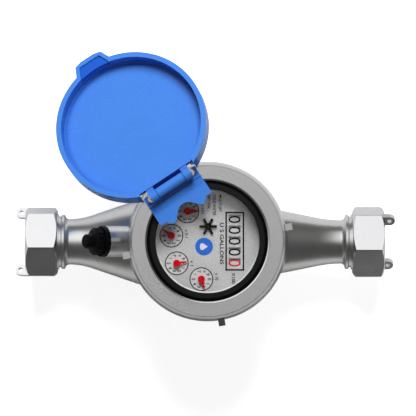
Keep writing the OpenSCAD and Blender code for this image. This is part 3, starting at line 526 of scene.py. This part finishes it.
def makeWheelDigits(p):
    for k in range(1, p["wheels"] + 1):
        low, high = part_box(f"number_wheel_{k}")
        mid = (low + high) / 2
        radius = (high.z - low.z) / 2
        bm = bmesh.new()
        for d, start in enumerate(evenTurns(p["digits"])):
            width = None if d == 1 else p["width"]    # a one keeps its own narrow shape
            mesh = letterMesh(str(d), p["height"], width, p["proud"], p["bold"])
            cut = bmesh.new()
            cut.from_mesh(mesh)
            for step in range(-p["cuts"], p["cuts"] + 1):
                bmesh.ops.bisect_plane(cut, geom=cut.verts[:] + cut.edges[:] + cut.faces[:],
                                       plane_co=(0, step * p["cutStep"] * mm, 0), plane_no=(0, 1, 0))
            for v in cut.verts:
                reach = radius + v.co.z + p["lift"] * mm
                turn = v.co.y / radius - start
                v.co = (mid.x + reach * math.sin(turn), mid.y - v.co.x, mid.z + reach * math.cos(turn))
            cut.to_mesh(mesh)
            cut.free()
            addMesh(bm, mesh, Matrix.Identity(4))
        name = f"wheel_digits_{k}"
        ink = redMat if k == p["wheels"] else inkMat    # the last wheel counts the least
        addPiece(name, finishBmesh(bm, name), ink, f"wheel_{k}")


makeWheelDigits(wheelDigits)
print("number wheels lettered")


# a raised arrow cast on each side of the bowl, pointing the way the water flows
flowArrow = dict(radius=43.5, high=50.0, length=30.0, shaft=1.8, shaftSteps=10, head=5.2, headFrom=0.6,
                 headSteps=8, tip=0.3, raised=1.3, draft=1.0, sunk=0.6)
arrowMat = finish("rawCasting", (0.30, 0.30, 0.295), (0.40, 0.40, 0.395), (0.42, 0.55), grain=1100.0,
                  bump=0.12, metallic=1.0)


def makeFlowArrow(p):
    bm = bmesh.new()
    half = p["length"] / 2
    neck = -half + p["length"] * p["headFrom"]
    columns = [(-half + (neck + half) * k / p["shaftSteps"], p["shaft"]) for k in range(p["shaftSteps"] + 1)]
    columns += [(neck + p["draft"] + (half - neck) * k / p["headSteps"],
                 p["head"] * (1 - k / p["headSteps"]) + p["tip"]) for k in range(p["headSteps"] + 1)]
    for side in (-1, 1):
        rows = []
        for along, tall in columns:
            row = []
            for up, out in ((-tall - p["draft"], -p["sunk"]), (-tall, p["raised"]), (tall, p["raised"]),
                            (tall + p["draft"], -p["sunk"])):
                turn = along / p["radius"]
                reach = (p["radius"] + out) * mm
                row.append(bm.verts.new((reach * math.sin(turn), side * reach * math.cos(turn),
                                         (p["high"] + up) * mm)))
            rows.append(row)
        for one, two in zip(rows, rows[1:]):
            for k in range(len(one)):
                n = (k + 1) % len(one)
                bm.faces.new((one[k], one[n], two[n], two[k]))
        bm.faces.new(rows[0])
        bm.faces.new(list(reversed(rows[-1])))
    addPiece("flow_arrows", finishBmesh(bm, "flow_arrows"), arrowMat)


makeFlowArrow(flowArrow)
print("flow arrows cast")


# the hinge's place: its turn from the pipe, the pin's distance from the dial's axis and height over the
# ring's top, and how far the lid has swung open
hingePlace = dict(turn=33.4, reach=39.3, lift=8.2, openTurn=198.0)
# a dark navy finish that paints the shade in the hinge's slot and gaps
slotShadeMat = finish("paintedSlotShade", (0.002, 0.006, 0.085), (0.004, 0.010, 0.12), (0.5, 0.6), grain=1700.0, bump=0.02,
                 specular=0.1)


# a point given along the hinge, off its pin towards the dial, and up from the ring's top
def atHinge(x, off, up):
    place = Matrix.Rotation(math.radians(hingePlace["turn"]), 4, "Z")
    return place @ Vector((x * mm, (hingePlace["reach"] - off) * mm, ringTop + up * mm))


# a point given the same way on the shut lid, where it stands with the lid open
def atLid(x, off, up):
    turn = math.radians(hingePlace["openTurn"])
    out, rise = -off, up - hingePlace["lift"]
    return atHinge(x, -(out * math.cos(turn) + rise * math.sin(turn)),
                   rise * math.cos(turn) - out * math.sin(turn) + hingePlace["lift"])


# a bar along the hinge with the section given
def hingeBar(bm, start, end, section, place=atHinge):
    addPrism(bm, *[[place(x, off, up) for off, up in section] for x in (start, end)])


def boxSection(off, low, high):
    return [(off[0], low), (off[0], high), (off[1], high), (off[1], low)]


# a scored line across the hinge plate in front of the barrel, where the tongue bends down to the bezel
hingeScore = dict(half=17.95, low=1.95, tongue=2.8, high=3.4, near=(3.12, 4.85), far=(5.35, 9.5))


def makeHingeScore(p):
    bm = bmesh.new()
    low, high, far = p["low"], p["high"], p["far"]
    slope = [(far[0], low), (far[0], high), (far[1], p["tongue"]), (far[1], low)]
    for section in (boxSection(p["near"], low, high), slope):
        hingeBar(bm, -p["half"], p["half"], section)
    addPiece("hinge_score", finishBmesh(bm, "hinge_score"), made["blue_plastic"])


makeHingeScore(hingeScore)

# a dark navy sheet on the lid, painted shade standing for the slot that the lid's floor leaves beside the
# barrel, and a painted dark line of shade at the knuckles' roots
hingeSlotShade = dict(half=9.5, off=(4.75, 6.45), lineHalf=13.7, lineOff=(6.1, 6.45), floor=10.0, raised=0.05,
                 sunk=0.02)


def makeHingeSlot(p):
    bm = bmesh.new()
    for half, off in ((p["half"], p["off"]), (p["lineHalf"], p["lineOff"])):
        section = boxSection(off, p["floor"] - p["raised"], p["floor"] + p["sunk"])
        hingeBar(bm, -half, half, section, atLid)
    addPiece("hinge_slot_shade", finishBmesh(bm, "hinge_slot_shade"), slotShadeMat, "lid")


makeHingeSlot(hingeSlotShade)

# the plate's thin heel on the ring under the slot, and a thin dark disc in each gap beside the knuckles,
# painted shade in those gaps
hingeHeel = dict(half=9.4, off=(-4.8, -1.9), low=0.02, high=0.6, washer=(9.23, 9.47), washerRadius=3.3,
                 sides=32)


def makeHingeHeel(p):
    heel = bmesh.new()
    hingeBar(heel, -p["half"], p["half"], boxSection(p["off"], p["low"], p["high"]))
    r = p["washerRadius"]
    disc = [(r * math.cos(t), hingePlace["lift"] + r * math.sin(t)) for t in evenTurns(p["sides"])]
    washers = bmesh.new()
    for side in (-1, 1):
        # dark discs painted as the shade in the gaps between the knuckles
        hingeBar(washers, side * p["washer"][0], side * p["washer"][1], disc)
    addPiece("hinge_heel", finishBmesh(heel, "hinge_heel"), made["blue_plastic"])
    addPiece("hinge_washers", finishBmesh(washers, "hinge_washers"), slotShadeMat)


makeHingeHeel(hingeHeel)
print("hinge plate scored, slot and parting line laid")


# the shallow shelf in the thumb tab, flush with the lid's inner wall, in a deeper and duller blue that is
# painted shade in the recess; side is half of its outline, across the tab and in from the lid's outer edge
tabShelf = dict(lidMid=42.6, inner=42.0, outer=45.0, rim=0.3, depth=0.9, recess=5.0,
                side=[(9.25, 2.4), (6.75, -2.75)], steps=12)
shelfShadeMat = finish("tabShelfShade", (0.012, 0.105, 0.60), (0.018, 0.12, 0.66), (0.32, 0.40), grain=1700.0, bump=0.02,
                  specular=0.2)


def makeTabShelf(p):
    mid, edge = p["lidMid"], p["lidMid"] + p["outer"]
    across = [p["side"][0][0] * (2 * k / p["steps"] - 1) for k in range(p["steps"] + 1)]
    outline = [(x, mid + math.sqrt(p["inner"] ** 2 - x * x)) for x in across]
    outline += [(x, edge - y) for x, y in p["side"]] + [(-x, edge - y) for x, y in reversed(p["side"])]
    bm = bmesh.new()
    addPrism(bm, *[[atLid(x, off, p["rim"] + up) for x, off in outline] for up in (p["depth"], p["recess"])])
    addPiece("tab_shelf", finishBmesh(bm, "tab_shelf"), shelfShadeMat, "lid")


makeTabShelf(tabShelf)

# the two spanner lugs across the pipe have tops that slope away from the ring
lugRamp = dict(turns=(100.0, 280.0), start=45.0, reach=51.0, half=1.98, top=85.0, sunk=0.05, rise=2.4)


def makeLugRamps(p):
    bm = bmesh.new()
    low = p["top"] - p["sunk"]
    section = [(p["start"], low), (p["start"], low + p["rise"]), (p["reach"], low)]
    for turn in p["turns"]:
        place = Matrix.Rotation(math.radians(turn), 4, "Z")
        addPrism(bm, *[[place @ (Vector((out, x, up)) * mm) for out, up in section]
                       for x in (-p["half"], p["half"])])
    addPiece("lug_ramps", finishBmesh(bm, "lug_ramps"), made["satin_stainless"])


makeLugRamps(lugRamp)
print("tab shelf and lug ramps set")


# the gasket's raised inner lip, in a paler copy of its black rubber that is painted light on the lip
gasketLip = dict(inner=31.0, outer=33.9, raised=0.3, sunk=0.1, ease=0.25, sides=144)
litLipMat = finish("lipRubberLit", (0.008, 0.008, 0.0085), (0.017, 0.017, 0.0175), (0.50, 0.62), grain=1600.0,
                turned=(900.0, 0.15), specular=0.1)


def makeGasketLip(p):
    bm = bmesh.new()
    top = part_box("bezel_gasket")[1].z / mm
    low, high = top - p["sunk"], top + p["raised"]
    addRing(bm, [(p["inner"], low), (p["inner"], high - p["ease"] / 2), (p["inner"] + p["ease"], high),
                 (p["outer"] - p["ease"], high), (p["outer"], high - p["ease"] / 2), (p["outer"], low)],
            p["sides"])
    addPiece("gasket_lip", finishBmesh(bm, "gasket_lip"), litLipMat)


makeGasketLip(gasketLip)

# the pale sloping rim between dial and gasket
dialRim = dict(inner=29.85, outer=31.3, high=1.7, sunk=0.02, sides=144)
rimMat = finish("rimWhite", (0.66, 0.66, 0.66), (0.74, 0.74, 0.74), (0.3, 0.4), grain=2500.0, bump=0.02)


def makeDialRim(p):
    bm = bmesh.new()
    low = face / mm - p["sunk"]
    addRing(bm, [(p["inner"], low), (p["outer"], low + p["high"]), (p["outer"], low)], p["sides"])
    addPiece("dial_rim", finishBmesh(bm, "dial_rim"), rimMat)


makeDialRim(dialRim)

# the ring's bright inner edge, a low bevel that slopes to the gasket
ringEdge = dict(inner=35.85, crest=36.65, outer=36.85, start=0.02, raised=0.22, sunk=0.35, sides=144)


def makeRingEdge(p):
    bm = bmesh.new()
    top = ringTop / mm
    addRing(bm, [(p["inner"], top - p["sunk"]), (p["inner"], top + p["start"]),
                 (p["crest"], top + p["raised"]), (p["outer"], top - p["start"])], p["sides"])
    addPiece("ring_edge", finishBmesh(bm, "ring_edge"), made["satin_stainless"])


makeRingEdge(ringEdge)
print("gasket lip, dial rim and ring edge laid")


# ribs that a hand grips on the regulator's cap, from the mouth of the sloping boss up its axis
capRibs = dict(count=18, reach=7.75, low=3.0, high=7.1, width=1.1, sides=10, mouth=(-61.5, 0, 65), tilt=27)
ribSizes = dict(Width="NodeSocketFloat", Length="NodeSocketFloat", Sides="NodeSocketInt")


def ribShape(tree, given, spread):
    rib = addNode(tree, "GeometryNodeMeshCylinder", -500, -250)
    linkUp(tree, given["Sides"], rib.inputs["Vertices"])
    linkUp(tree, given["Width"], rib.inputs["Radius"])
    linkUp(tree, given["Length"], rib.inputs["Depth"])
    linkUp(tree, rib.outputs[0], spread["Instance"])


def makeCapRibs(p):
    tilt = math.radians(p["tilt"])
    axis = Vector((-math.cos(tilt), 0, math.sin(tilt)))
    mid = Vector(p["mouth"]) * mm + axis * (p["low"] + p["high"]) / 2 * mm
    black = made["black_plastic"]
    mesh = runTree(makeRingTree("capRibs", ribSizes, ribShape), {
        "Count": p["count"], "Reach": p["reach"] * mm, "Width": p["width"] / 2 * mm,
        "Length": (p["high"] - p["low"]) * mm, "Sides": p["sides"], "Place": tuple(mid),
        "Turn": (0, tilt - math.radians(90), 0), "Finish": black}, "cap_ribs")
    addPiece("cap_ribs", mesh, black)


makeCapRibs(capRibs)
print("cap ribbed")


# pale floor, white to the camera, that still takes the shadow
studioFloor = dict(size=6.0, drop=0.0005, pale=0.9, seenGlow=0.81, mirrorGlow=0.03)


def makeFloor(p):
    half, level = p["size"] / 2, -p["drop"]
    mesh = bpy.data.meshes.new("floor")
    mesh.from_pydata([(-half, -half, level), (half, -half, level), (half, half, level), (-half, half, level)],
                     [], [(0, 1, 2, 3)])
    mat, tree, surface = newMaterial("paleFloor")
    plain = addNode(tree, "ShaderNodeBsdfDiffuse", 0)
    setInputs(plain, {"Color": (p["pale"], p["pale"], p["pale"], 1)})
    glow = addNode(tree, "ShaderNodeEmission", 0, -200)
    setInputs(glow, {"Color": (1, 1, 1, 1)})
    path = addNode(tree, "ShaderNodeLightPath", -300, 300).outputs
    seen = mathNode(tree, "MAXIMUM", path["Is Camera Ray"], path["Is Transmission Ray"], 0, 300)
    seen = mathNode(tree, "MULTIPLY", seen, p["seenGlow"], 150, 300)
    mirrored = mathNode(tree, "MULTIPLY", path["Is Glossy Ray"], p["mirrorGlow"], 150, 100)
    linkUp(tree, mathNode(tree, "ADD", seen, mirrored, 300, 200), glow.inputs["Strength"])
    add = addNode(tree, "ShaderNodeAddShader", 400, -100)
    linkUp(tree, plain.outputs[0], add.inputs[0])
    linkUp(tree, glow.outputs[0], add.inputs[1])
    linkUp(tree, add.outputs[0], surface)
    floor = meshObject("floor", mesh, mat)


# even light for the matt surfaces, and a dim room with one big soft window for the bright metal to mirror;
# across and along give where the window's soft edges start and end, as slopes from straight up
studioRoom = dict(fill=0.105, dark=0.085, skirt=0.12, skirtTop=0.5, window=1.36, horizon=0.05,
                  across=(-1.15, -0.75, 0.06, 0.25), along=(-0.17, 0.20, 1.25, 1.7))


def makeRoom(p):
    world = bpy.data.worlds.new("studio")
    bpy.context.scene.world = world
    world.use_nodes = True
    tree = world.node_tree
    tree.nodes.clear()
    out = addNode(tree, "ShaderNodeOutputWorld", 1200)
    coord = addNode(tree, "ShaderNodeTexCoord", -1200)
    split = addNode(tree, "ShaderNodeSeparateXYZ", -1000)
    linkUp(tree, coord.outputs["Generated"], split.inputs[0])
    up = mathNode(tree, "MAXIMUM", split.outputs["Z"], p["horizon"], -850, -200)

    def edge(value, start, end, low, high, y):
        node = addNode(tree, "ShaderNodeMapRange", -400, y, interpolation_type="SMOOTHSTEP")
        setInputs(node, {"From Min": start, "From Max": end, "To Min": low, "To Max": high})
        linkUp(tree, value, node.inputs["Value"])
        return node.outputs["Result"]

    spans = []
    for k, (axis, span) in enumerate((("X", p["across"]), ("Y", p["along"]))):
        slope = mathNode(tree, "DIVIDE", split.outputs[axis], up, -650, -300 * k)
        rise = edge(slope, span[0], span[1], 0, 1, 300 - 500 * k)
        fall = edge(slope, span[2], span[3], 1, 0, 50 - 500 * k)
        spans.append(mathNode(tree, "MULTIPLY", rise, fall, -150, 200 - 500 * k))
    window = mathNode(tree, "MULTIPLY", *spans, 0, 0)
    glow = mathNode(tree, "MULTIPLY", window, p["window"], 150, 0)
    room = edge(split.outputs["Z"], 0.0, p["skirtTop"], p["skirt"], p["dark"], -900)
    level = mathNode(tree, "ADD", glow, room, 300, -100)
    mirror = addNode(tree, "ShaderNodeBackground", 500)
    linkUp(tree, level, mirror.inputs["Color"])
    fill = addNode(tree, "ShaderNodeBackground", 500, 200)
    setInputs(fill, {"Color": (p["fill"], p["fill"], p["fill"], 1)})
    white = addNode(tree, "ShaderNodeBackground", 500, -300)
    setInputs(white, {"Color": (1, 1, 1, 1)})
    path = addNode(tree, "ShaderNodeLightPath", 300, 600).outputs
    first = addNode(tree, "ShaderNodeMixShader", 750)
    linkUp(tree, path["Is Glossy Ray"], first.inputs[0])
    linkUp(tree, fill.outputs[0], first.inputs[1])
    linkUp(tree, mirror.outputs[0], first.inputs[2])
    seen = mathNode(tree, "MAXIMUM", path["Is Camera Ray"], path["Is Transmission Ray"], 600, 600)
    second = addNode(tree, "ShaderNodeMixShader", 950)
    linkUp(tree, seen, second.inputs[0])
    linkUp(tree, first.outputs[0], second.inputs[1])
    linkUp(tree, white.outputs[0], second.inputs[2])
    linkUp(tree, second.outputs[0], out.inputs["Surface"])


makeRoom(studioRoom)
makeFloor(studioFloor)

# two soft lamps, aimed at the middle of the meter
softBoxes = [dict(name="overhead", place=(0.0, 0.78, 0.95), size=0.6, watts=13.4),
             dict(name="sideFill", place=(0.8, -0.35, 0.9), size=0.4, watts=0.8)]
lampAim = Vector((0, 0, 0.06))
for box in softBoxes:
    lamp = bpy.data.lights.new(box["name"], "AREA")
    lamp.energy = box["watts"]
    lamp.shape = "DISK"
    lamp.size = box["size"]
    obj = bpy.data.objects.new(box["name"], lamp)
    bpy.context.scene.collection.objects.link(obj)
    obj.visible_glossy = False    # the room's window is what the metal mirrors
    obj.location = box["place"]
    obj.rotation_euler = (lampAim - obj.location).to_track_quat("-Z", "Y").to_euler()

# camera nearly straight above, far off, as in the photograph; its place is in metres, and pixel is the
# size of one at the ring's top, in millimetres
overhead = dict(place=(0.00032, 0.0195), back=0.0385, high=2.5, pixel=0.59, pixels=416, sensor=36.0,
                clip=(0.05, 20))
camData = bpy.data.cameras.new("overhead")
camera = bpy.data.objects.new("overhead", camData)
bpy.context.scene.collection.objects.link(camera)
camera.location = (overhead["place"][0], overhead["place"][1] - overhead["back"], ringTop + overhead["high"])
camera.rotation_euler = (math.atan2(overhead["back"], overhead["high"]), 0, 0)
camData.sensor_width = overhead["sensor"]
camData.lens = overhead["sensor"] * overhead["high"] / (overhead["pixel"] * overhead["pixels"] * mm)
camData.clip_start, camData.clip_end = overhead["clip"]
bpy.context.scene.camera = camera
bpy.context.scene.view_settings.view_transform = "Standard"
print("studio and camera set")
